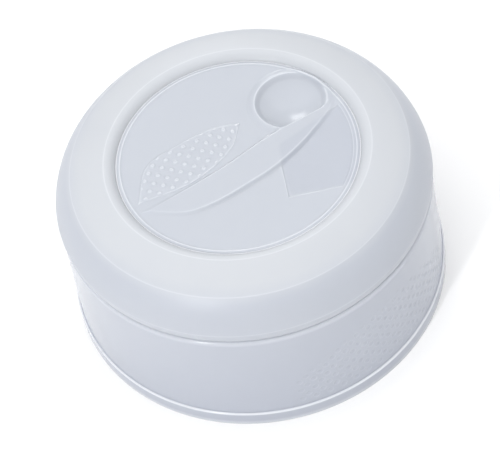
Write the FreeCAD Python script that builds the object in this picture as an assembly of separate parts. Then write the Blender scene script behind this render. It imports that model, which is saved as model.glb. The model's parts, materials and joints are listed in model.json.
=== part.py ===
import FreeCAD, Part
import math
import os

# A round, two-tier twist cap with a vent dial, moulded in translucent polypropylene.
# Millimetres. +Z is the cap's axis, pointing up, and the origin is the centre of the bottom lip.
# The lid closes on the collar with a quarter turn, and the dial in its top opens a vent port.

Vector = FreeCAD.Vector
AXIS = Vector(0, 0, 1)
ORIGIN = Vector(0, 0, 0)
FULL_TURN = 360
QUARTER_BULGE = 1 - math.sqrt(0.5)  # an arc of a quarter turn stands this share of its radius off its chord

# Driving dimensions
lip_radius = 35.0
crest_height = 35.2
collar_height = 24.3
dial_radius = 22.0
wall = 1.2
gap = 0.3
close_gap = 0.1
sink = 0.2  # how far a feature reaches into the solid that it is joined to

# Collar
lip_height = 3.3
bore_radius = 32.6
skirt_radius_low = lip_radius - 0.4
skirt_radius_high = 34.0
edge_round = 0.5
seat_top = 16.7
seat_bottom = seat_top - wall
seat_radius = 29.6

# Lid
lid_underside = collar_height + close_gap
plug_radius = 31.0
plug_inner_radius = plug_radius - wall
plug_bottom = 17.6
lower_edge_radius = 32.8
lower_edge_bulge = 0.35
lid_radius = 34.2
lid_widest_height = 26.9
upper_wall_bulge = 0.65
shoulder_radius = 30.5
shoulder_height = 33.2
ring_bulge = 0.18
well_radius = dial_radius + close_gap
well_lip_width = 2.0
well_lip_bulge = 0.32
crest_radius = well_radius + well_lip_width
plate_top = crest_height - 1.2
well_floor = plate_top - 3.3
floor_underside = well_floor - wall
ring_underside = crest_height - wall - 0.3
hub_hole_radius = 5.2

# Quarter-turn thread between the lid's plug and the collar
thread_starts = 3
thread_lead = 12.0
thread_sweep_deg = 70.0
rib_thickness = 1.0
rib_root = 0.4
rib_side_gap = 0.15
collar_rib_start = 19.8
lid_rib_start = collar_rib_start - rib_thickness - rib_side_gap
lid_rib_lag_deg = 5.0

# Vent port in the lid's floor, and the shutter on the dial that covers it
port_size = 6.0
port_centre = Vector(0.50 * dial_radius, -0.36 * dial_radius, 0)
shutter_margin = 1.0

# Dial
plate_thickness = 1.1
plate_underside = plate_top - plate_thickness
rim_bottom = well_floor + gap
hub_radius = hub_hole_radius - 0.08
hub_bore_radius = hub_radius - wall
barb_radius = hub_radius + 0.7
barb_top = floor_underside - 0.2
barb_height = 0.5
hub_bottom = barb_top - 1.8
hub_tip_radius = hub_radius - 0.2
scoop_centre = Vector(0.515 * dial_radius, 0.44 * dial_radius, 0)
scoop_radius = 0.30 * dial_radius
scoop_depth = 1.8
scoop_rim_width = 0.05 * dial_radius
scoop_rim_height = 0.35
window_depth = 0.15
window_limit_radius = 0.94 * dial_radius
bar_crown_radius = 400.0
bar_height = 0.6
pad_height = 0.15
bump_pitch = 0.119 * dial_radius
bump_row_step = 0.058 * dial_radius
bump_row_angle_deg = 14.5
bump_radius = 0.65
bump_tip_radius = 0.35
bump_height = 0.25

# Seals
gasket_inner_radius = plug_inner_radius - 0.9
gasket_outer_radius = plug_radius
gasket_upstand = 1.6
seal_section_radius = 0.85
seal_clearance = 0.03

# Plan outlines on the dial's top, as fractions of the dial's radius
bar_tip = (0.885, 0.39)
bar_tail = (-0.88, -0.39)
bar_upper_edge = [bar_tip, (0.30, 0.15), (-0.19, -0.11), bar_tail]
bar_lower_edge = [bar_tail, (-0.43, -0.51), (0.13, -0.32), (0.48, -0.10), (0.78, 0.20), bar_tip]
pad_left = (-0.86, -0.30)
pad_right = (0.07, 0.32)
pad_upper_edge = [pad_left, (-0.74, 0.07), (-0.44, 0.235), (-0.17, 0.32), pad_right]
pad_lower_edge = [pad_right, (-0.05, 0.06), (-0.40, -0.19), pad_left]
window = [(0.32, -0.54), (1.0, -0.54), (1.0, 0.37), (0.32, 0.0)]


def profile(start, *steps):
    """A closed face in the XZ plane, drawn with the solid on the left of the way travelled.

    A step is (end,) for a line, or (bulge, end) for an arc that stands that far off its chord,
    outwards where bulge is positive. The last point is joined to the first by a line.
    """
    here = Vector(start[0], 0, start[1])
    first = here
    edges = []
    for step in steps:
        end = Vector(step[-1][0], 0, step[-1][1])
        if len(step) == 1:
            edges.append(Part.LineSegment(here, end).toShape())
        else:
            along = end - here
            outwards = Vector(along.z, 0, -along.x).normalize()
            middle = (here + end) / 2 + outwards * step[0]
            edges.append(Part.Arc(here, middle, end).toShape())
        here = end
    edges.append(Part.LineSegment(here, first).toShape())
    return Part.Face(Part.Wire(edges))


def turned(face):
    """The solid of revolution of a profile about the cap's axis."""
    return face.revolve(ORIGIN, AXIS, FULL_TURN)


def helical_rib(inner, outer, start_height, start_angle_deg):
    """One thread rib of rectangular section, on a right-handed helix."""
    rise = thread_lead * thread_sweep_deg / FULL_TURN
    path = Part.Wire(Part.makeHelix(thread_lead, rise, (inner + outer) / 2).Edges)
    half = rib_thickness / 2
    section = Part.makePolygon([
        Vector(inner, 0, -half),
        Vector(outer, 0, -half),
        Vector(outer, 0, half),
        Vector(inner, 0, half),
        Vector(inner, 0, -half),
    ])
    rib = path.makePipeShell([section], True, True)
    rib.rotate(ORIGIN, AXIS, start_angle_deg)
    rib.translate(Vector(0, 0, start_height))
    return rib


def thread(inner, outer, start_height, first_angle_deg):
    """The evenly spaced ribs of one side of the thread."""
    step = FULL_TURN / thread_starts
    return [
        helical_rib(inner, outer, start_height, first_angle_deg + step * i)
        for i in range(thread_starts)
    ]


def vent_block(size, low, high):
    """A square block where the vent port is."""
    return Part.makeBox(size, size, high - low, port_centre + Vector(-size / 2, -size / 2, low))


def plan_curve(fractions, height):
    """A smooth edge through points given as fractions of the dial's radius."""
    curve = Part.BSplineCurve()
    curve.interpolate([Vector(x * dial_radius, y * dial_radius, height) for x, y in fractions])
    return curve.toShape()


def plan_face(edge_a, edge_b, height):
    """The flat face between two edges that share both end points."""
    return Part.Face(Part.Wire([plan_curve(edge_a, height), plan_curve(edge_b, height)]))


def make_collar():
    """The lower tier: flared skirt, bottom lip, neck bore, inner seat and its thread ribs."""
    body = turned(profile(
        (bore_radius, 0),
        ((lip_radius, 0),),
        ((lip_radius, lip_height - edge_round),),
        (QUARTER_BULGE * edge_round, (skirt_radius_low, lip_height)),
        ((skirt_radius_high, collar_height - edge_round),),
        (QUARTER_BULGE * edge_round, (skirt_radius_high - edge_round, collar_height)),
        ((bore_radius, collar_height),),
        ((bore_radius, seat_top),),
        ((seat_radius, seat_top),),
        ((seat_radius, seat_bottom),),
        ((bore_radius, seat_bottom),),
    ))
    ribs = thread(plug_radius + gap, bore_radius + rib_root, collar_rib_start, 0)
    return body.multiFuse(ribs).removeSplitter()


def make_lid_shell():
    """The upper tier: rounded ring, wall, dial well, and the threaded plug inside the collar."""
    body = turned(profile(
        (plug_inner_radius, plug_bottom),
        ((plug_radius, plug_bottom),),
        ((plug_radius, lid_underside),),
        ((lower_edge_radius, lid_underside),),
        (lower_edge_bulge, (lid_radius, lid_widest_height)),
        (upper_wall_bulge, (shoulder_radius, shoulder_height)),
        (ring_bulge, (crest_radius, crest_height)),
        (well_lip_bulge, (well_radius, plate_top)),
        ((well_radius, well_floor),),
        ((hub_hole_radius, well_floor),),
        ((hub_hole_radius, floor_underside),),
        ((well_radius + wall, floor_underside),),
        ((well_radius + wall, ring_underside),),
        (-ring_bulge, (shoulder_radius - wall / 2, shoulder_height - wall)),
        (-upper_wall_bulge, (lid_radius - wall, lid_widest_height)),
        ((plug_inner_radius, lid_underside + wall),),
    ))
    ribs = thread(plug_radius - rib_root, bore_radius - gap, lid_rib_start, lid_rib_lag_deg)
    port = vent_block(port_size, floor_underside - sink, well_floor + sink)
    return body.multiFuse(ribs).cut(port).removeSplitter()


def make_dial_body():
    """The dial's plate, rim, hub with its snap barb, and the shutter under its thin window."""
    body = turned(profile(
        (0, plate_underside),
        ((hub_bore_radius, plate_underside),),
        ((hub_bore_radius, hub_bottom),),
        ((hub_tip_radius, hub_bottom),),
        ((barb_radius, barb_top - barb_height),),
        ((barb_radius, barb_top),),
        ((hub_radius, barb_top),),
        ((hub_radius, plate_underside),),
        ((dial_radius - wall, plate_underside),),
        ((dial_radius - wall, rim_bottom),),
        ((dial_radius, rim_bottom),),
        ((dial_radius, plate_top),),
        ((0, plate_top),),
    ))
    shutter = vent_block(port_size + 2 * shutter_margin, rim_bottom, plate_underside + sink)
    corners = [Vector(x * dial_radius, y * dial_radius, plate_top - window_depth) for x, y in window]
    recess = Part.Face(Part.makePolygon([*corners, corners[0]])).extrude(AXIS)
    within_rim = Part.makeCylinder(window_limit_radius, crest_height)
    return body.fuse(shutter).cut(recess.common(within_rim))


def with_scoop(body):
    """Adds the thumb scoop: a shallow bowl with a bevelled rim, and the skin under it."""
    bowl_radius = (scoop_radius ** 2 + scoop_depth ** 2) / (2 * scoop_depth)
    bowl_middle = scoop_centre + Vector(0, 0, plate_top - scoop_depth + bowl_radius)
    bowl = Part.makeSphere(bowl_radius, bowl_middle)
    rim_base = scoop_centre + Vector(0, 0, plate_top)
    rim = Part.makeCone(scoop_radius + scoop_rim_width, scoop_radius, scoop_rim_height, rim_base)
    column_base = scoop_centre + Vector(0, 0, well_floor)
    column = Part.makeCylinder(scoop_radius + plate_thickness, plate_top - well_floor, column_base)
    skin = Part.makeSphere(bowl_radius + plate_thickness, bowl_middle).common(column)
    within_dial = Part.makeCylinder(dial_radius, crest_height)
    return body.fuse(skin.fuse(rim).common(within_dial)).cut(bowl)


def make_grip_bar():
    """The swept, leaf-shaped bar that the fingers turn, crowned along its length."""
    prism = plan_face(bar_upper_edge, bar_lower_edge, plate_underside)
    prism = prism.extrude(Vector(0, 0, plate_thickness + bar_height))
    crown_centre = Vector(0, 0, plate_top + bar_height - bar_crown_radius)
    return prism.common(Part.makeSphere(bar_crown_radius, crown_centre))


def make_grip_pad():
    """The low leaf-shaped pad beside the bar, with its staggered rows of small bumps."""
    face = plan_face(pad_upper_edge, pad_lower_edge, plate_top)
    outline = Part.makeCompound(face.Edges)
    along_rows = FreeCAD.Rotation(AXIS, bump_row_angle_deg)
    reach = math.ceil(dial_radius / bump_row_step)
    bumps = []
    for row in range(-reach, reach):
        for column in range(-reach, reach):
            stagger = (row + 1) % 2 / 2
            spot = Vector((column + stagger) * bump_pitch, row * bump_row_step, plate_top)
            spot = along_rows.multVec(spot)
            point = Part.Vertex(spot)
            on_face = face.distToShape(point)[0] == 0
            if on_face and outline.distToShape(point)[0] > bump_radius:
                height = pad_height + bump_height
                bumps.append(Part.makeCone(bump_radius, bump_tip_radius, height, spot))
    face.translate(Vector(0, 0, -sink))
    return face.extrude(Vector(0, 0, sink + pad_height)).multiFuse(bumps)


def make_vent_dial():
    """The dial in the lid's top, with its scoop, grip bar and grip pad."""
    body = with_scoop(make_dial_body())
    return body.multiFuse([make_grip_bar(), make_grip_pad()]).removeSplitter()


def make_dial_seal():
    """The O-ring round the dial's hub, lying on the lid's floor."""
    radius = hub_radius + seal_section_radius + seal_clearance
    middle = Vector(0, 0, well_floor + seal_section_radius + seal_clearance)
    return Part.makeTorus(radius, seal_section_radius, middle, AXIS)


def make_lid_gasket():
    """The gasket that sits on the end of the lid's plug and closes on the collar's seat."""
    base_bottom = seat_top + seal_clearance
    base_top = plug_bottom - seal_clearance
    upstand_radius = plug_inner_radius - seal_clearance
    return turned(profile(
        (gasket_inner_radius, base_bottom),
        ((gasket_outer_radius, base_bottom),),
        ((gasket_outer_radius, base_top),),
        ((upstand_radius, base_top),),
        ((upstand_radius, base_top + gasket_upstand),),
        ((gasket_inner_radius, base_top + gasket_upstand),),
    ))


pieces = {
    "collar": make_collar,
    "lid_shell": make_lid_shell,
    "vent_dial": make_vent_dial,
    "dial_seal": make_dial_seal,
    "lid_gasket": make_lid_gasket,
}

os.makedirs("parts", exist_ok=True)
for name, make in pieces.items():
    shape = make()
    shape.exportStep("parts/" + name + ".step")
    low, high = shape.BoundBox.ZMin, shape.BoundBox.ZMax
    print(f"{name}: valid {shape.isValid()}, solids {len(shape.Solids)}, faces {len(shape.Faces)},")
    print(f"    volume {shape.Volume:.1f} mm3, from z {low:.2f} to {high:.2f}")
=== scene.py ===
import json
import math

import bpy
import numpy as np
from mathutils import Matrix, Vector


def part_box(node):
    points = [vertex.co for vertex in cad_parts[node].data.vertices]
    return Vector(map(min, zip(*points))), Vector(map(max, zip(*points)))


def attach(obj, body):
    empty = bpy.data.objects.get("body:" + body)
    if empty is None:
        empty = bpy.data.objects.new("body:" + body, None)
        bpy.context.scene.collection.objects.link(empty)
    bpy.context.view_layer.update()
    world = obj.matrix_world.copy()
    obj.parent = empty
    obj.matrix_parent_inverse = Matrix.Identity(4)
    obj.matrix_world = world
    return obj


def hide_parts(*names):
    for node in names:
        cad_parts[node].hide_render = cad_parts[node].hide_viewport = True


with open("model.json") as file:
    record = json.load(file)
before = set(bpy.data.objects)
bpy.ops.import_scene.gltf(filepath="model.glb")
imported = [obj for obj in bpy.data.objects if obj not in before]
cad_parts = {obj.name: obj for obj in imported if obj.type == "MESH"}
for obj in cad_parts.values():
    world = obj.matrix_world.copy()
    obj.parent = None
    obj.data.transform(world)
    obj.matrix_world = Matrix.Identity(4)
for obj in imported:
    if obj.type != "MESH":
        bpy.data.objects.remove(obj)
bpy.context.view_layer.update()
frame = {"nodes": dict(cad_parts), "record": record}

# Shapes are worked out in millimetres and become metres as each mesh is made.
MM = 1000.0
QUARTER_BULGE = 1 - math.sqrt(0.5)  # a quarter circle stands this share of its radius off its chord
TINY = 1e-6

# Places read from the frame. The lip is read on the side where the CAD mesh reaches least far.
collar_low, collar_high = (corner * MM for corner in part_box("collar"))
lid_low, lid_high = (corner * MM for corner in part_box("lid_shell"))
dial_low, dial_high = (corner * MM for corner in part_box("vent_dial"))
lip_radius = -collar_low.x
collar_height = collar_high.z
lid_radius = lid_high.x
crest_height = lid_high.z
plug_bottom = lid_low.z
dial_radius = dial_high.x
hub_bottom = dial_low.z
bore_radius = frame["record"]["mounts"][0]["dims"]["r_mm"]

# Walls, gaps, rounds and heights, in millimetres. The gaps that show are drawn nearly closed.
wall = 1.2
gap = 0.3
close_gap = 0.01
soft_edge = 0.18
edge_round = 0.5
top_edge_round = 0.8
lip_height = 3.3
skirt_radius_low = lip_radius - 0.4
skirt_radius_high = 34.0
seat_top = 16.7
seat_radius = 29.6
lid_underside = collar_height + close_gap
plug_radius = 31.0
lower_edge_radius = 33.45
lower_edge_bulge = 0.2
lid_widest_height = 26.9
upper_wall_bulge = 0.65
shoulder_radius = 30.5
shoulder_height = 33.2
ring_bulge = 0.18
well_radius = dial_radius + close_gap
well_lip_width = 2.0
well_lip_bulge = 0.32
hub_hole_radius = 5.2
plate_depth = 1.2  # how far the dial's plate lies below the ring's crest
well_depth = 3.3  # from the plate's top to the well's floor
plate_top = crest_height - plate_depth
well_floor = plate_top - well_depth
plate_thickness = 1.1
plate_underside = plate_top - plate_thickness
plate_edge_round = 0.03
rim_bottom = well_floor + gap
floor_underside = well_floor - wall
hub_radius = hub_hole_radius - 0.08
barb_radius = hub_radius + 0.7
barb_clearance = 0.2
barb_top = floor_underside - barb_clearance
barb_height = 0.5
hub_tip_radius = hub_radius - 0.2

# Quarter-turn thread
thread_starts = 3
thread_lead = 12.0
thread_sweep_deg = 70.0
rib_thickness = 1.0
rib_root = 0.4
rib_side_gap = 0.15
collar_rib_start = 19.8
lid_rib_start = collar_rib_start - rib_thickness - rib_side_gap
lid_rib_lag_deg = 5.0

# Vent port in the lid's floor, and the shutter over it
port_size = 6.0
port_centre = (0.50 * dial_radius, -0.36 * dial_radius)
port_overcut = 1.0
shutter_margin = 1.0

# Features on the dial's top; plan points are fractions of the dial's radius
scoop_centre = (0.515 * dial_radius, 0.44 * dial_radius)
scoop_radius = 0.30 * dial_radius
scoop_depth = 1.8
scoop_rim_width = 0.07 * dial_radius
scoop_rim_inner_width = 0.16 * scoop_radius
scoop_rim_height = 0.35
bowl_skin_width = 0.8  # how much wider the bowl is on the plate's underside
bar_height = 0.6
bar_crown_radius = 400.0
bar_edge_width = 0.85
pad_height = 0.15
pad_edge_round = 0.3
bar_tip = (0.885, 0.39)
bar_tail = (-0.88, -0.39)
bar_upper_edge = [bar_tip, (0.30, 0.15), (-0.19, -0.11), bar_tail]
bar_lower_edge = [bar_tail, (-0.43, -0.51), (0.13, -0.32), (0.48, -0.10), (0.78, 0.20), bar_tip]
pad_left = (-0.86, -0.30)
pad_right = (0.07, 0.32)
pad_upper_edge = [pad_left, (-0.74, 0.07), (-0.44, 0.235), (-0.17, 0.32), pad_right]
pad_lower_edge = [pad_right, (-0.05, 0.06), (-0.40, -0.19), pad_left]
window_left = 0.32 * dial_radius
window_bottom = -0.54 * dial_radius
window_slope = 0.54
window_depth = 0.15
window_edge_width = 0.3
window_tint_width = 0.8
window_limit_radius = 0.94 * dial_radius
bead_radius = 0.967 * dial_radius
bead_half_width = 0.35
bead_height = 0.15
flat_border = 0.3  # the dial's features fade out over this width at its edge

# Grip dots, in staggered rows, on the pad and on the skirt
dot_pitch = 0.119 * dial_radius
dot_row_step = 0.058 * dial_radius
dot_radius = 0.65
dot_slope_width = 0.75 * dot_radius
pad_dot_height = 0.15
pad_row_angle_deg = 14.5

# The skirt's two patches of dots, opposite each other. Their limits are shares of the skirt's height.
skirt_dot_depth = 0.12
dot_patch_angle_deg = -53.0
dot_patch_half_width_deg = 36.0
dot_patch_side_fade_deg = 4.0
dot_patch_bottom = 0.02
dot_patch_bottom_fade = 0.05
dot_patch_top = 0.78
dot_patch_top_fall = 0.45  # how much lower the top is at the patch's sides
dot_patch_top_fade = 0.08

# Mesh fineness: the spacing of points along a profile, the points round a circle, and the angle past
# which an edge is shaded as a crease
finest_step = 0.15
fine_step = 0.2
curve_step = 0.3
plain_step = 0.5
coarse_step = 1.5
arc_step_share = 0.12
skirt_columns = 1080
plain_columns = 360
dial_columns = 720
sharp_angle_deg = 40.0

# Looks: outer edges are paler past a curvature per millimetre, a painted highlight, and the lid's ring is
# painted lighter, as top light falls on it, partly as the tint of its thicker plastic
painted_edge_highlight_colour = (0.72, 0.74, 0.78)
flat_curvature = 0.25
ring_lighter_from = shoulder_height - 1.0
ring_lighter_to = shoulder_height + 0.8

# Studio, in metres and degrees, with the camera's lens and sensor in millimetres
object_middle = Vector((0, 0, crest_height / MM / 2))
floor_width = 6.0
brightest_way = (0.07, 0, 0.9)
camera_elevation_deg = 52.16
camera_roll_deg = 11.88
camera_distance = 0.392
camera_lens = 153.5
camera_sensor = 36.0
aim_height = 0.47 * crest_height / MM
aim_drop = 0.00203


def outline(start, *steps):
    """Points along a profile, as (radius, height) rows.

    A step is (end,) for a line, or (bulge, end) for a parabola that stands that far off its chord,
    to the right of the way travelled where bulge is positive. A third value is the spacing of points.
    """
    points = [np.array(start, float)]
    for step in steps:
        bulge = step[0] if len(step) > 1 else 0
        end = np.array(step[1] if len(step) > 1 else step[0], float)
        here = points[-1]
        chord = end - here
        length = math.hypot(*chord)
        usual_spacing = coarse_step if bulge == 0 else arc_step_share * length
        spacing = step[2] if len(step) > 2 else usual_spacing
        count = max(1, math.ceil(length / spacing - TINY))
        outwards = np.array([chord[1], -chord[0]]) / length
        for i in range(1, count + 1):
            t = i / count
            points.append(here + chord * t + outwards * 4 * bulge * t * (1 - t))
    return np.array(points)


def new_object(name, points, faces):
    """A smooth-shaded mesh object from points in millimetres."""
    mesh = bpy.data.meshes.new(name)
    mesh.from_pydata((np.asarray(points) / MM).tolist(), [], faces)
    mesh.validate()
    mesh.shade_smooth()
    mesh.set_sharp_from_angle(angle=math.radians(sharp_angle_deg))
    piece = bpy.data.objects.new(name, mesh)
    bpy.context.scene.collection.objects.link(piece)
    return piece


def grid_faces(rows, columns, closed_rows):
    """Quads of a grid whose columns run round a circle, and whose rows may close on themselves."""
    last = rows if closed_rows else rows - 1
    faces = []
    for row in range(last):
        here = row * columns
        there = (row + 1) % rows * columns
        for column in range(columns):
            beside = (column + 1) % columns
            faces.append((here + column, here + beside, there + beside, there + column))
    return faces


def around(section, columns):
    """The points of a section turned about the cap's axis, one row of points for each of its own."""
    angles = np.linspace(0, 2 * math.pi, columns, endpoint=False)
    x = section[:, :1] * np.cos(angles)
    y = section[:, :1] * np.sin(angles)
    z = np.repeat(section[:, 1:], columns, axis=1)
    return np.stack([x, y, z], axis=-1)


def turned(name, section, columns, shape=None):
    """A ring-shaped solid: a closed section turned about the axis, then shaped by a function."""
    if np.allclose(section[0], section[-1]):
        section = section[:-1]
    grid = around(section, columns)
    if shape:
        grid = shape(grid)
    return new_object(name, grid.reshape(-1, 3), grid_faces(len(section), columns, True))


def helical_rib(inner, outer, start_height, start_angle_deg):
    """Points and faces of one thread rib with softened edges, on a right-handed helix."""
    half = rib_thickness / 2
    soft = rib_thickness / 4
    ring = [
        (inner, -half + soft), (inner + soft, -half), (outer - soft, -half), (outer, -half + soft),
        (outer, half - soft), (outer - soft, half), (inner + soft, half), (inner, half - soft),
    ]
    steps = math.ceil(thread_sweep_deg)
    points = []
    for i in range(steps + 1):
        turn_deg = thread_sweep_deg * i / steps
        angle = math.radians(start_angle_deg + turn_deg)
        height = start_height + thread_lead * turn_deg / 360
        points += [(r * math.cos(angle), r * math.sin(angle), height + z) for r, z in ring]
    sides = len(ring)
    faces = [tuple(range(sides))[::-1], tuple(range(steps * sides, (steps + 1) * sides))]
    for i in range(steps):
        for j in range(sides):
            k = (j + 1) % sides
            faces.append((i * sides + j, i * sides + k, (i + 1) * sides + k, (i + 1) * sides + j))
    return points, faces


def thread(name, inner, outer, start_height, first_angle_deg):
    """The evenly spaced ribs of one side of the thread, as one object."""
    points, faces = [], []
    for i in range(thread_starts):
        angle = first_angle_deg + 360 / thread_starts * i
        rib_points, rib_faces = helical_rib(inner, outer, start_height, angle)
        faces += [tuple(v + len(points) for v in face) for face in rib_faces]
        points += rib_points
    return new_object(name, points, faces)


def join(target, *others):
    """Joins other objects into target."""
    with bpy.context.temp_override(active_object=target, selected_editable_objects=[target, *others]):
        bpy.ops.object.join()
    return target


def block(name, size, low, high):
    """A square block at the vent port's place."""
    x, y = port_centre
    half = size / 2
    square = [(x - half, y - half), (x + half, y - half), (x + half, y + half), (x - half, y + half)]
    points = [(*corner, z) for z in (low, high) for corner in square]
    faces = [(3, 2, 1, 0), (4, 5, 6, 7), (0, 1, 5, 4), (1, 2, 6, 5), (2, 3, 7, 6), (3, 0, 4, 7)]
    return new_object(name, points, faces)


def apply_modifiers(piece):
    """Turns a piece's modifiers into mesh."""
    depsgraph = bpy.context.evaluated_depsgraph_get()
    mesh = bpy.data.meshes.new_from_object(piece.evaluated_get(depsgraph))
    piece.modifiers.clear()
    piece.data = mesh
    mesh.shade_smooth()
    mesh.set_sharp_from_angle(angle=math.radians(sharp_angle_deg))
    return piece


def cut(piece, tool):
    """Cuts tool out of piece."""
    modifier = piece.modifiers.new("cut", "BOOLEAN")
    modifier.operation = "DIFFERENCE"
    modifier.solver = "EXACT"
    modifier.object = tool
    apply_modifiers(piece)
    bpy.data.objects.remove(tool)
    return piece


def smooth_step(value):
    """0 below 0, 1 above 1, and a smooth rise between."""
    t = np.clip(value, 0, 1)
    return t * t * (3 - 2 * t)


def round_edge(distance, width):
    """A quarter-round rise from 0 at an edge to 1 at width inside it."""
    t = 1 - np.clip(distance / width, 0, 1)
    return np.where(distance > 0, np.sqrt(1 - t * t), 0)


def plan_curve(fractions, per_span=24):
    """A smooth curve through plan points given as fractions of the dial's radius."""
    points = np.array(fractions) * dial_radius
    steps = np.hypot(*np.diff(points, axis=0).T)
    knots = np.concatenate([[0], np.cumsum(steps)])
    ends = np.array([2 * points[0] - points[1], 2 * points[-1] - points[-2]])
    padded = np.vstack([ends[:1], points, ends[1:]])
    at = np.concatenate([[2 * knots[0] - knots[1]], knots, [2 * knots[-1] - knots[-2]]])
    tangents = (padded[2:] - padded[:-2]) / (at[2:] - at[:-2])[:, None]
    curve = []
    for i in range(len(points) - 1):
        span = knots[i + 1] - knots[i]
        for t in np.linspace(0, 1, per_span, endpoint=False):
            curve.append(
                (2 * t**3 - 3 * t**2 + 1) * points[i] + (t**3 - 2 * t**2 + t) * span * tangents[i]
                + (3 * t**2 - 2 * t**3) * points[i + 1] + (t**3 - t**2) * span * tangents[i + 1]
            )
    curve.append(points[-1])
    return np.array(curve)


def inside_distance(x, y, edge_a, edge_b):
    """How far each point is inside a plan outline of two edges, negative outside it."""
    loop = np.vstack([plan_curve(edge_a)[:-1], plan_curve(edge_b)[:-1]])
    nearest = np.full(x.shape, np.inf)
    inside = np.zeros(x.shape, bool)
    for (ax, ay), (bx, by) in zip(loop, np.roll(loop, -1, axis=0)):
        dx, dy = bx - ax, by - ay
        t = np.clip(((x - ax) * dx + (y - ay) * dy) / (dx * dx + dy * dy), 0, 1)
        nearest = np.minimum(nearest, np.hypot(x - ax - t * dx, y - ay - t * dy))
        crosses = (ay > y) != (by > y)
        left = x < ax + dx * (y - ay) / (dy if dy else TINY)
        inside ^= crosses & left
    return np.where(inside, nearest, -nearest)


def grip_dots(u, v):
    """Height, 0 to 1, of round grip dots in staggered rows along u."""
    nearest = np.full(u.shape, np.inf)
    for extra in (0, 1):
        row = np.floor(v / dot_row_step) + extra
        stagger = np.mod(row + 1, 2) / 2
        column = np.round(u / dot_pitch - stagger)
        distance = np.hypot(u - (column + stagger) * dot_pitch, v - row * dot_row_step)
        nearest = np.minimum(nearest, distance)
    return smooth_step((dot_radius - nearest) / dot_slope_width)


def dial_top_height(x, y):
    """Height of the dial's top surface above its plate."""
    from_scoop = np.hypot(x - scoop_centre[0], y - scoop_centre[1])
    bowl = -scoop_depth * np.clip(1 - (from_scoop / scoop_radius) ** 2, 0, 1)
    rim = scoop_rim_height * smooth_step((scoop_radius + scoop_rim_width - from_scoop) / scoop_rim_width)
    rim_inside = smooth_step((from_scoop - scoop_radius) / scoop_rim_inner_width + 1)
    height = bowl + rim * rim_inside

    in_pad = inside_distance(x, y, pad_upper_edge, pad_lower_edge)
    pad = pad_height * round_edge(in_pad, pad_edge_round)
    angle = math.radians(pad_row_angle_deg)
    along_rows = x * math.cos(angle) + y * math.sin(angle)
    across_rows = y * math.cos(angle) - x * math.sin(angle)
    dots = pad_dot_height * grip_dots(along_rows, across_rows)
    height += pad + dots * smooth_step(in_pad / dot_radius)

    in_window = np.minimum(x - window_left, y - window_bottom)
    in_window = np.minimum(in_window, window_slope * (x - window_left) - y)
    in_window = np.minimum(in_window, window_limit_radius - np.hypot(x, y))
    height -= window_depth * smooth_step(in_window / window_edge_width)

    from_bead = np.abs(np.hypot(x, y) - bead_radius)
    height += bead_height * smooth_step(1 - from_bead / bead_half_width)

    in_bar = inside_distance(x, y, bar_upper_edge, bar_lower_edge)
    crown = bar_height - (x * x + y * y) / (2 * bar_crown_radius)
    share = smooth_step(in_bar / bar_edge_width)
    return height * (1 - share) + crown * share


def make_collar():
    """The lower tier: flared skirt with two patches of grip dots, lip, bore, seat and thread ribs."""
    seat_bottom = seat_top - wall
    bulge = QUARTER_BULGE
    section = outline(
        (bore_radius, soft_edge),
        (bulge * soft_edge, (bore_radius + soft_edge, 0)),
        ((lip_radius - soft_edge, 0),),
        (bulge * soft_edge, (lip_radius, soft_edge)),
        ((lip_radius, lip_height - edge_round),),
        (bulge * edge_round, (skirt_radius_low, lip_height)),
        (0, (skirt_radius_high, collar_height - top_edge_round), fine_step),
        (bulge * top_edge_round, (skirt_radius_high - top_edge_round, collar_height)),
        ((bore_radius + soft_edge, collar_height),),
        (bulge * soft_edge, (bore_radius, collar_height - soft_edge)),
        ((bore_radius, seat_top + soft_edge),),
        (-bulge * soft_edge, (bore_radius - soft_edge, seat_top)),
        ((seat_radius + soft_edge, seat_top),),
        (bulge * soft_edge, (seat_radius, seat_top - soft_edge)),
        ((seat_radius, seat_bottom + soft_edge),),
        (bulge * soft_edge, (seat_radius + soft_edge, seat_bottom)),
        ((bore_radius - soft_edge, seat_bottom),),
        (-bulge * soft_edge, (bore_radius, seat_bottom - soft_edge)),
        ((bore_radius, soft_edge),),
    )

    def with_grip_dots(grid):
        x, y, z = grid[..., 0], grid[..., 1], grid[..., 2]
        radius = np.hypot(x, y)
        angle = np.degrees(np.arctan2(y, x))
        from_patch = np.abs(np.mod(angle - dot_patch_angle_deg + 90, 180) - 90)
        height_share = (z - lip_height) / (collar_height - lip_height)
        patch_top = dot_patch_top - dot_patch_top_fall * (from_patch / dot_patch_half_width_deg) ** 2
        in_patch = smooth_step((dot_patch_half_width_deg - from_patch) / dot_patch_side_fade_deg)
        in_patch *= smooth_step((patch_top - height_share) / dot_patch_top_fade)
        in_patch *= smooth_step((height_share - dot_patch_bottom) / dot_patch_bottom_fade)
        outside = radius > skirt_radius_high - close_gap
        on_skirt = outside & (z > lip_height) & (z < collar_height - top_edge_round)
        around_skirt = np.radians(angle) * skirt_radius_high
        dots = grip_dots(around_skirt, z)
        shrink = 1 - skirt_dot_depth * dots * in_patch * on_skirt / radius
        return grid * np.stack([shrink, shrink, np.ones_like(shrink)], axis=-1)

    body = turned("collar_shell", section, skirt_columns, with_grip_dots)
    ribs = thread("collar_thread", plug_radius + gap, bore_radius + rib_root, collar_rib_start, 0)
    return join(body, ribs)


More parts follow.
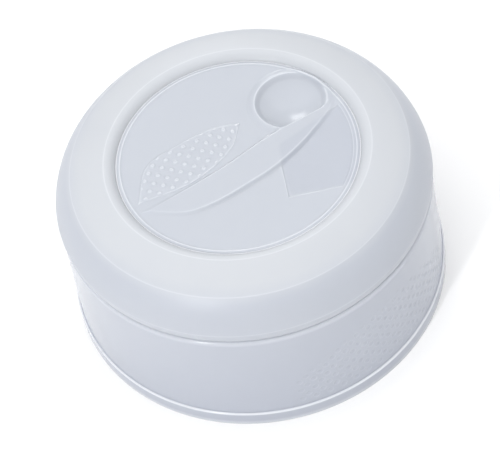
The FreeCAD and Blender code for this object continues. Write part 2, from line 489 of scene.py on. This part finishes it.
def make_lid():
    """The upper tier: ring, wall, dial well with its vent port, plug and thread ribs."""
    bulge = QUARTER_BULGE
    plug_inner_radius = plug_radius - wall
    ring_underside = crest_height - wall - gap
    crest_radius = well_radius + well_lip_width
    section = outline(
        (plug_inner_radius, plug_bottom + soft_edge),
        (bulge * soft_edge, (plug_inner_radius + soft_edge, plug_bottom)),
        ((plug_radius - soft_edge, plug_bottom),),
        (bulge * soft_edge, (plug_radius, plug_bottom + soft_edge)),
        ((plug_radius, lid_underside - soft_edge),),
        (-bulge * soft_edge, (plug_radius + soft_edge, lid_underside)),
        ((lower_edge_radius, lid_underside),),
        (lower_edge_bulge, (lid_radius, lid_widest_height), finest_step),
        (upper_wall_bulge, (shoulder_radius, shoulder_height), curve_step),
        (ring_bulge, (crest_radius, crest_height), curve_step),
        (well_lip_bulge, (well_radius, plate_top), fine_step),
        ((well_radius, well_floor + soft_edge),),
        (-bulge * soft_edge, (well_radius - soft_edge, well_floor)),
        ((hub_hole_radius + soft_edge, well_floor),),
        (bulge * soft_edge, (hub_hole_radius, well_floor - soft_edge)),
        ((hub_hole_radius, floor_underside + soft_edge),),
        (bulge * soft_edge, (hub_hole_radius + soft_edge, floor_underside)),
        ((well_radius + wall - soft_edge, floor_underside),),
        (bulge * soft_edge, (well_radius + wall, floor_underside + soft_edge)),
        ((well_radius + wall, ring_underside - soft_edge),),
        (-bulge * soft_edge, (well_radius + wall + soft_edge, ring_underside)),
        (-ring_bulge, (shoulder_radius - wall / 2, shoulder_height - wall)),
        (-upper_wall_bulge, (lid_radius - wall, lid_widest_height)),
        ((plug_inner_radius, lid_underside + wall),),
        ((plug_inner_radius, plug_bottom + soft_edge),),
    )
    body = turned("lid_shell_body", section, plain_columns)
    cut(body, block("port", port_size, floor_underside - port_overcut, well_floor + port_overcut))
    ribs = thread("lid_thread", plug_radius - rib_root, bore_radius - gap, lid_rib_start, lid_rib_lag_deg)
    return join(body, ribs)


def dial_section():
    """The dial's section, from the middle of its top, round its rim and hub, to the middle below."""
    bulge = QUARTER_BULGE
    rim_inside = dial_radius - wall
    hub_bore_radius = hub_radius - wall
    flat_radius = dial_radius - plate_edge_round
    top = outline((fine_step, plate_top), (0, (flat_radius, plate_top), finest_step))
    rest = outline(
        (flat_radius, plate_top),
        (bulge * plate_edge_round, (dial_radius, plate_top - plate_edge_round)),
        ((dial_radius, rim_bottom + soft_edge),),
        (bulge * soft_edge, (dial_radius - soft_edge, rim_bottom)),
        ((rim_inside + soft_edge, rim_bottom),),
        (bulge * soft_edge, (rim_inside, rim_bottom + soft_edge)),
        ((rim_inside, plate_underside),),
        (0, (hub_radius, plate_underside), plain_step),
        ((hub_radius, barb_top),),
        ((barb_radius, barb_top),),
        ((barb_radius, barb_top - barb_height),),
        ((hub_tip_radius, hub_bottom),),
        ((hub_bore_radius, hub_bottom),),
        ((hub_bore_radius, plate_underside),),
        ((fine_step, plate_underside),),
    )
    return np.vstack([top, rest[1:]])


def sculpt_dial(grid):
    """Raises the features on the dial's top, and the bowl's skin on the plate's underside."""
    x, y, z = grid[..., 0], grid[..., 1], grid[..., 2]
    from_axis = np.hypot(x, y)
    near_edge = smooth_step((dial_radius - from_axis) / flat_border)
    on_top = z > plate_top - TINY
    under_plate = (np.abs(z - plate_underside) < TINY) & (from_axis > hub_radius + soft_edge)
    from_scoop = np.hypot(x - scoop_centre[0], y - scoop_centre[1])
    bowl_skin = -scoop_depth * np.clip(1 - (from_scoop / (scoop_radius + bowl_skin_width)) ** 2, 0, 1)
    raised = np.where(on_top, dial_top_height(x, y), 0) + np.where(under_plate, bowl_skin, 0)
    return np.stack([x, y, z + raised * near_edge], axis=-1)


def make_dial():
    """The recessed dial: sculpted top, rim, hub with its snap barb, and the shutter."""
    section = dial_section()
    grid = sculpt_dial(around(section, dial_columns))
    middle_height = float(dial_top_height(np.zeros(1), np.zeros(1))[0])
    points = grid.reshape(-1, 3).tolist()
    points += [(0, 0, plate_top + middle_height), (0, 0, plate_underside)]

    last_row = (len(section) - 1) * dial_columns
    top_middle = len(section) * dial_columns
    faces = [face[::-1] for face in grid_faces(len(section), dial_columns, False)]
    for column in range(dial_columns):
        beside = (column + 1) % dial_columns
        faces.append((column, beside, top_middle))
        faces.append((last_row + beside, last_row + column, top_middle + 1))
    body = new_object("vent_dial_body", points, faces)
    shutter = block("shutter", port_size + 2 * shutter_margin, rim_bottom, plate_underside + gap)
    return join(body, shutter)


class Nodes:
    """A small helper for building a material's node tree."""

    def __init__(self, name):
        self.material = bpy.data.materials.new(name)
        self.material.use_nodes = True
        self.tree = self.material.node_tree
        self.shader = self.tree.nodes["Principled BSDF"]
        self.place = self.add("ShaderNodeTexCoord").outputs["Object"]

    def add(self, kind, **settings):
        node = self.tree.nodes.new(kind)
        for key, value in settings.items():
            setattr(node, key, value)
        return node

    def link(self, output, socket):
        self.tree.links.new(output, socket)

    def noise(self, scale, detail):
        """Noise over the piece; scale is in cycles per metre."""
        node = self.add("ShaderNodeTexNoise")
        node.inputs["Scale"].default_value = scale
        node.inputs["Detail"].default_value = detail
        self.link(self.place, node.inputs["Vector"])
        return node.outputs["Fac"]

    def ramp(self, factor, low, high, low_at=0.3, high_at=0.7):
        """A colour ramp between two colours, over the middle of the factor's range unless told."""
        node = self.add("ShaderNodeValToRGB")
        node.color_ramp.elements[0].position = low_at
        node.color_ramp.elements[0].color = (*low, 1)
        node.color_ramp.elements[1].position = high_at
        node.color_ramp.elements[1].color = (*high, 1)
        self.link(factor, node.inputs["Fac"])
        return node.outputs["Color"]

    def range(self, factor, low, high, from_low=0.0, from_high=1.0):
        """Maps a factor from one range to another, and holds it within the second."""
        node = self.add("ShaderNodeMapRange")
        node.inputs["From Min"].default_value = from_low
        node.inputs["From Max"].default_value = from_high
        node.inputs["To Min"].default_value = low
        node.inputs["To Max"].default_value = high
        self.link(factor, node.inputs["Value"])
        return node.outputs["Result"]

    def rise(self, place, start):
        """0 before a place in millimetres, rising to 1 over the width of the window's edge."""
        return self.range(place, 0, 1, start / MM, (start + window_tint_width) / MM)

    def math(self, operation, first, second):
        """One sum on two outputs, or on an output and a number."""
        node = self.add("ShaderNodeMath", operation=operation)
        self.link(first, node.inputs[0])
        if isinstance(second, float):
            node.inputs[1].default_value = second
        else:
            self.link(second, node.inputs[1])
        return node.outputs["Value"]

    def mix(self, factor, colour, other):
        """Blends a colour output towards another colour."""
        node = self.add("ShaderNodeMix", data_type="RGBA")
        self.link(factor, node.inputs["Factor"])
        self.link(colour, node.inputs["A"])
        node.inputs["B"].default_value = (*other, 1)
        return node.outputs["Result"]

    def coordinate(self, axis):
        """The place along X, Y or Z, in metres from the piece's origin."""
        node = self.add("ShaderNodeSeparateXYZ")
        self.link(self.place, node.inputs["Vector"])
        return node.outputs[axis]

    def painted_edge_highlight_share(self, sharpest):
        """The painted edge highlight's share: 0 on flat or hollow surfaces, rising to 1 on outer edges of
        the sharpest curvature.
        """
        curvature = self.add("ShaderNodeAttribute", attribute_name="curvature").outputs["Fac"]
        return self.range(curvature, 0, 1, flat_curvature, sharpest)

    def bump(self, height, strength, distance):
        """A fine relief, with its depth in metres."""
        node = self.add("ShaderNodeBump")
        node.inputs["Strength"].default_value = strength
        node.inputs["Distance"].default_value = distance
        self.link(height, node.inputs["Height"])
        self.link(node.outputs["Normal"], self.shader.inputs["Normal"])

    def scatter_inside(self, weight, depth):
        """Light that enters and scatters evenly in all colours, with its depth in metres."""
        self.shader.inputs["Subsurface Weight"].default_value = weight
        self.shader.inputs["Subsurface Radius"].default_value = (1.0, 1.0, 1.0)
        self.shader.inputs["Subsurface Scale"].default_value = depth


def lighter_above(low, high):
    """A share, 0 to 1, that rises between two heights in millimetres: the colour is painted lighter above
    and shaded below, as light falls from overhead.
    """
    return lambda nodes: nodes.range(nodes.coordinate("Z"), 0, 1, low / MM, high / MM)


def thick_outside_window(nodes):
    """The dial's thickness, 0 to 1: it is thin only in the window."""
    x = nodes.coordinate("X")
    y = nodes.coordinate("Y")
    below_bar = nodes.math("SUBTRACT", nodes.math("MULTIPLY", x, window_slope), y)
    inside_left = nodes.rise(x, window_left)
    inside_bottom = nodes.rise(y, window_bottom)
    inside_top = nodes.rise(below_bar, window_slope * window_left)
    inside = nodes.math("MULTIPLY", nodes.math("MULTIPLY", inside_left, inside_bottom), inside_top)
    return nodes.range(inside, 1, 0)


def milky_plastic(name, darker_colour, lighter_colour, lightness, roughness, sharpest):
    """Natural polypropylene: satin and cloudy, paler where it is thick on the dial, painted lighter on
    top and shaded lower down on the lid and collar, and paler along its outer edges as a painted
    highlight.

    It has soft flow clouds, uneven gloss and a fine grain. lightness adds nodes for a share, from 0 to 1:
    the wall's thickness on the dial, and painted top light and shade by height on the lid and collar.
    sharpest is the curvature at which the painted edge highlight is palest.
    """
    cloudiness = 0.3
    unevenness = 0.05
    nodes = Nodes(name)
    shader = nodes.shader
    clouds = nodes.range(nodes.noise(scale=60, detail=5.0), -cloudiness, cloudiness)
    share = nodes.math("ADD", lightness(nodes), clouds)
    colour = nodes.ramp(share, darker_colour, lighter_colour, low_at=0, high_at=1)
    # Outer edges are blended towards a paler colour by curvature: a painted highlight.
    nodes.link(nodes.mix(nodes.painted_edge_highlight_share(sharpest), colour, painted_edge_highlight_colour), shader.inputs["Base Color"])
    smears = nodes.noise(scale=90, detail=2.0)
    gloss = nodes.range(smears, roughness - unevenness, roughness + unevenness)
    nodes.link(gloss, shader.inputs["Roughness"])
    nodes.bump(nodes.noise(scale=700, detail=2.0), strength=0.05, distance=0.0001)
    shader.inputs["IOR"].default_value = 1.49
    shader.inputs["Specular IOR Level"].default_value = 0.35
    nodes.scatter_inside(weight=0.5, depth=0.0015)
    return nodes.material


def silicone(name):
    """Cloudy silicone rubber for the two seals, matte with a fine grain."""
    nodes = Nodes(name)
    shader = nodes.shader
    dust = nodes.noise(scale=300, detail=3.0)
    colour = nodes.ramp(dust, low=(0.62, 0.64, 0.66), high=(0.70, 0.72, 0.74))
    nodes.link(colour, shader.inputs["Base Color"])
    nodes.link(nodes.range(dust, low=0.5, high=0.65), shader.inputs["Roughness"])
    nodes.bump(nodes.noise(scale=2500, detail=2.0), strength=0.1, distance=0.0001)
    nodes.scatter_inside(weight=0.6, depth=0.001)
    return nodes.material


def measure_curvature(piece):
    """Stores each point's mean curvature, per millimetre and positive on outer edges."""
    mesh = piece.data
    places = np.empty(len(mesh.vertices) * 3)
    normals = np.empty(len(mesh.vertices) * 3)
    ends = np.empty(len(mesh.edges) * 2, int)
    mesh.vertices.foreach_get("co", places)
    mesh.vertices.foreach_get("normal", normals)
    mesh.edges.foreach_get("vertices", ends)
    places = places.reshape(-1, 3) * MM
    normals = normals.reshape(-1, 3)
    starts, stops = ends.reshape(-1, 2).T
    total = np.zeros(len(places))
    count = np.zeros(len(places))
    for here, there in ((starts, stops), (stops, starts)):
        step = places[there] - places[here]
        length_squared = np.maximum((step ** 2).sum(axis=1), TINY)
        bend = -2 * (step * normals[here]).sum(axis=1) / length_squared
        total += np.bincount(here, bend, len(places))
        count += np.bincount(here, minlength=len(places))
    curvature = total / np.maximum(count, 1)
    mesh.attributes.new("curvature", "FLOAT", "POINT").data.foreach_set("value", curvature)


def dress(piece, material):
    """Gives a piece one material all over."""
    piece.data.materials.clear()
    piece.data.materials.append(material)


def stand_for(piece, node, body, material):
    """Puts a finished piece in place of a CAD node."""
    measure_curvature(piece)
    dress(piece, material)
    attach(piece, body)
    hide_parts(node)


def make_floor():
    """A plain pale floor."""
    half = floor_width / 2
    mesh = bpy.data.meshes.new("floor")
    corners = [(-half, -half, 0), (half, -half, 0), (half, half, 0), (-half, half, 0)]
    mesh.from_pydata(corners, [], [(0, 1, 2, 3)])
    floor = bpy.data.objects.new("floor", mesh)
    bpy.context.scene.collection.objects.link(floor)
    nodes = Nodes("pale_floor")
    patches = nodes.noise(scale=4, detail=3.0)
    colour = nodes.ramp(patches, low=(0.89, 0.89, 0.89), high=(0.91, 0.91, 0.91))
    nodes.link(colour, nodes.shader.inputs["Base Color"])
    nodes.shader.inputs["Roughness"].default_value = 0.8
    dress(floor, nodes.material)


def add_area_light(name, place, size, power):
    """A soft area light that points at the object."""
    light = bpy.data.lights.new(name, "AREA")
    light.size = size
    light.energy = power
    lamp = bpy.data.objects.new(name, light)
    lamp.location = place
    lamp.rotation_euler = (object_middle - Vector(place)).to_track_quat("-Z", "Y").to_euler()
    bpy.context.scene.collection.objects.link(lamp)


def make_surroundings():
    """White surroundings that are brightest overhead and dimmest below."""
    world = bpy.data.worlds.new("studio")
    world.use_nodes = True
    tree = world.node_tree
    background = tree.nodes["Background"]
    background.inputs["Color"].default_value = (1, 1, 1, 1)
    direction = tree.nodes.new("ShaderNodeTexCoord").outputs["Generated"]
    towards = tree.nodes.new("ShaderNodeVectorMath")
    towards.operation = "DOT_PRODUCT"
    towards.inputs[1].default_value = brightest_way
    fade = tree.nodes.new("ShaderNodeMapRange")
    fade.inputs["From Min"].default_value = -0.15
    fade.inputs["From Max"].default_value = 0.9
    fade.inputs["To Min"].default_value = 0.15
    fade.inputs["To Max"].default_value = 1.26
    tree.links.new(direction, towards.inputs[0])
    tree.links.new(towards.outputs["Value"], fade.inputs["Value"])
    tree.links.new(fade.outputs["Result"], background.inputs["Strength"])
    bpy.context.scene.world = world


def light_studio():
    """Pale surroundings, with soft lights above, behind, and in front on the left."""
    make_surroundings()
    add_area_light("top_light", place=(0, 0.1, 0.6), size=0.8, power=1.3)
    add_area_light("back_light", place=(-0.01, 0.46, 0.24), size=0.12, power=0.24)
    add_area_light("front_light", place=(-0.29, -0.38, 0.34), size=0.05, power=1.1)
    bpy.context.scene.view_settings.view_transform = "Standard"


def place_camera():
    """The camera looks down at the cap with a slight roll, from between five and six widths away."""
    elevation = math.radians(camera_elevation_deg)
    roll = math.radians(camera_roll_deg)
    back = Vector((0, -math.cos(elevation), math.sin(elevation)))
    level = Vector((1, 0, 0))
    upward = back.cross(level)
    right = level * math.cos(roll) - upward * math.sin(roll)
    up = level * math.sin(roll) + upward * math.cos(roll)
    aim = Vector((0, 0, aim_height)) - up * aim_drop
    camera_data = bpy.data.cameras.new("camera")
    camera_data.lens = camera_lens
    camera_data.sensor_width = camera_sensor
    camera = bpy.data.objects.new("camera", camera_data)
    turn = Matrix((right, up, back)).transposed().to_4x4()
    camera.matrix_world = Matrix.Translation(aim + back * camera_distance) @ turn
    bpy.context.scene.collection.objects.link(camera)
    bpy.context.scene.camera = camera


collar_material = milky_plastic(
    "collar_polypropylene",
    darker_colour=(0.44, 0.465, 0.53),
    lighter_colour=(0.47, 0.495, 0.555),
    # Painted shade: the collar is darker towards its lip and lighter towards its top.
    lightness=lighter_above(0, collar_height),
    roughness=0.14,
    sharpest=1.5,
)
lid_material = milky_plastic(
    "lid_polypropylene",
    darker_colour=(0.48, 0.505, 0.558),
    lighter_colour=(0.53, 0.55, 0.582),
    # Painted top light: the ring above the shoulder is lighter, partly the tint of its thicker plastic.
    lightness=lighter_above(ring_lighter_from, ring_lighter_to),
    roughness=0.42,
    sharpest=1.2,
)
dial_material = milky_plastic(
    "dial_polypropylene",
    darker_colour=(0.44, 0.465, 0.52),
    lighter_colour=(0.47, 0.495, 0.543),
    lightness=thick_outside_window,
    roughness=0.16,
    sharpest=4.0,
)
stand_for(make_collar(), "collar", "collar", collar_material)
stand_for(make_lid(), "lid_shell", "lid", lid_material)
stand_for(make_dial(), "vent_dial", "dial", dial_material)
seal_material = silicone("seal_silicone")
for node in ("dial_seal", "lid_gasket"):
    dress(frame["nodes"][node], seal_material)

make_floor()
light_studio()
place_camera()
